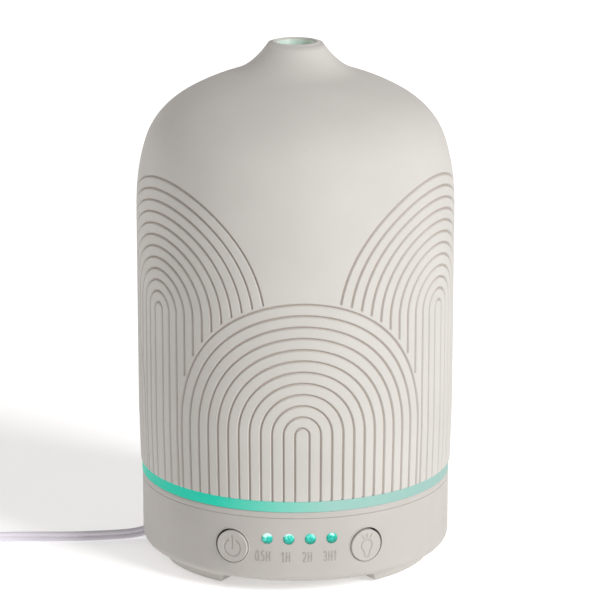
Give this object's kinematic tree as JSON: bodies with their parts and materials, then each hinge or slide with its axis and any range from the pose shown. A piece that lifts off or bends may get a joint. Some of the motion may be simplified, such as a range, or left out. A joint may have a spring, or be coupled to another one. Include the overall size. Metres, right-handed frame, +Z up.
{
  "type": "essential oil diffuser",
  "caption": "Bottle-shaped essential oil diffuser: matte ceramic cover engraved with rainbow arches, glowing ring, base with buttons and lights, flat lead with wall adapter.",
  "frame": {"origin": "on the floor under the middle of the base", "axes": "+Z up, the control panel faces -Y, the power lead leaves towards -X"},
  "size_m": [0.2572, 0.1024, 0.169],
  "materials": {
    "ceramic_cover": "matte",
    "lid_plastic": "satin",
    "silicone": "matte",
    "tank_plastic": "satin",
    "piezo_metal": "satin",
    "steel": "satin",
    "light_diffuser": "satin",
    "trim_plastic": "matte",
    "housing_plastic": "matte",
    "rubber_pad": "matte",
    "circuit_board": "satin",
    "led_lens": "gloss",
    "window_lens": "gloss",
    "button_plastic": "matte",
    "black_plastic": "satin",
    "aluminium": "satin",
    "copper_winding": "satin",
    "connector_plastic": "satin",
    "brass_contact": "satin",
    "wire_insulation": "satin",
    "cord_plastic": "satin",
    "adapter_plastic": "satin",
    "tie_fabric": "matte"
  },
  "bodies": {
    "base": {"adapter_blades": "brass_contact", "adapter_body": "adapter_plastic", "adapter_relief": "cord_plastic", "board_screws": "steel", "bottom_cover": "housing_plastic", "bottom_screws": "steel", "capacitors": "black_plastic", "clamp_screws": "steel", "control_chip": "black_plastic", "cord_coil": "cord_plastic", "cord_lead": "cord_plastic", "cord_tail": "cord_plastic", "cord_tie": "tie_fabric", "dc_plug_barrel": "brass_contact", "dc_plug_grip": "cord_plastic", "dc_socket": "black_plastic", "dc_socket_pin": "brass_contact", "drive_inductor": "copper_winding", "drive_transistor": "black_plastic", "fan_duct": "tank_plastic", "fan_frame": "black_plastic", "fan_screws": "steel", "fan_stator": "copper_winding", "fan_wires": "wire_insulation", "foot_pads": "rubber_pad", "heat_sink": "aluminium", "indicator_leds": "led_lens", "indicator_windows": "window_lens", "led_ring_board": "circuit_board", "light_ring": "light_diffuser", "light_switch": "black_plastic", "lower_housing": "housing_plastic", "main_board": "circuit_board", "power_switch": "black_plastic", "ring_leds": "led_lens", "ring_wires": "wire_insulation", "socket_wires": "wire_insulation", "transducer_clamp": "steel", "transducer_disc": "piezo_metal", "transducer_gasket": "silicone", "transducer_wires": "wire_insulation", "trim_ring": "trim_plastic", "water_tank": "tank_plastic", "wire_connectors": "connector_plastic"},
    "inner_lid": {"inner_lid": "lid_plastic", "mist_nozzle": "lid_plastic", "lid_seal": "silicone"},
    "outer_cover": {"outer_cover": "ceramic_cover"},
    "power_button": {"power_button": "button_plastic"},
    "light_button": {"light_button": "button_plastic"},
    "power_plunger": {"power_plunger": "black_plastic"},
    "light_plunger": {"light_plunger": "black_plastic"},
    "fan_rotor": {"fan_rotor": "black_plastic"}
  },
  "joints": [
    {"name": "lid_lift", "type": "slide", "parent": "base", "child": "inner_lid", "axis": [0, 0, 1], "range_m": [0, 0.06]},
    {"name": "cover_lift", "type": "slide", "parent": "inner_lid", "child": "outer_cover", "axis": [0, 0, 1], "range_m": [0, 0.145]},
    {"name": "power_press", "type": "slide", "parent": "base", "child": "power_button", "axis": [0.4242, 0.9056, 0], "range_m": [0, 0.0004], "stiffness_N_per_m": 600},
    {"name": "light_press", "type": "slide", "parent": "base", "child": "light_button", "axis": [-0.4242, 0.9056, 0], "range_m": [0, 0.0004], "stiffness_N_per_m": 600},
    {"name": "power_plunger_travel", "type": "slide", "parent": "base", "child": "power_plunger", "axis": [0.4242, 0.9056, 0], "range_m": [0, 0.0004]},
    {"name": "light_plunger_travel", "type": "slide", "parent": "base", "child": "light_plunger", "axis": [-0.4242, 0.9056, 0], "range_m": [0, 0.0004]},
    {"name": "fan_spin", "type": "hinge", "parent": "base", "child": "fan_rotor", "pos_m": [0, 0.026, 0.0123], "axis": [0, 0, 1], "continuous": true}
  ],
  "couplings": [
    {"joint": "power_plunger_travel", "follows": "power_press", "ratio": 1},
    {"joint": "light_plunger_travel", "follows": "light_press", "ratio": 1}
  ]
}
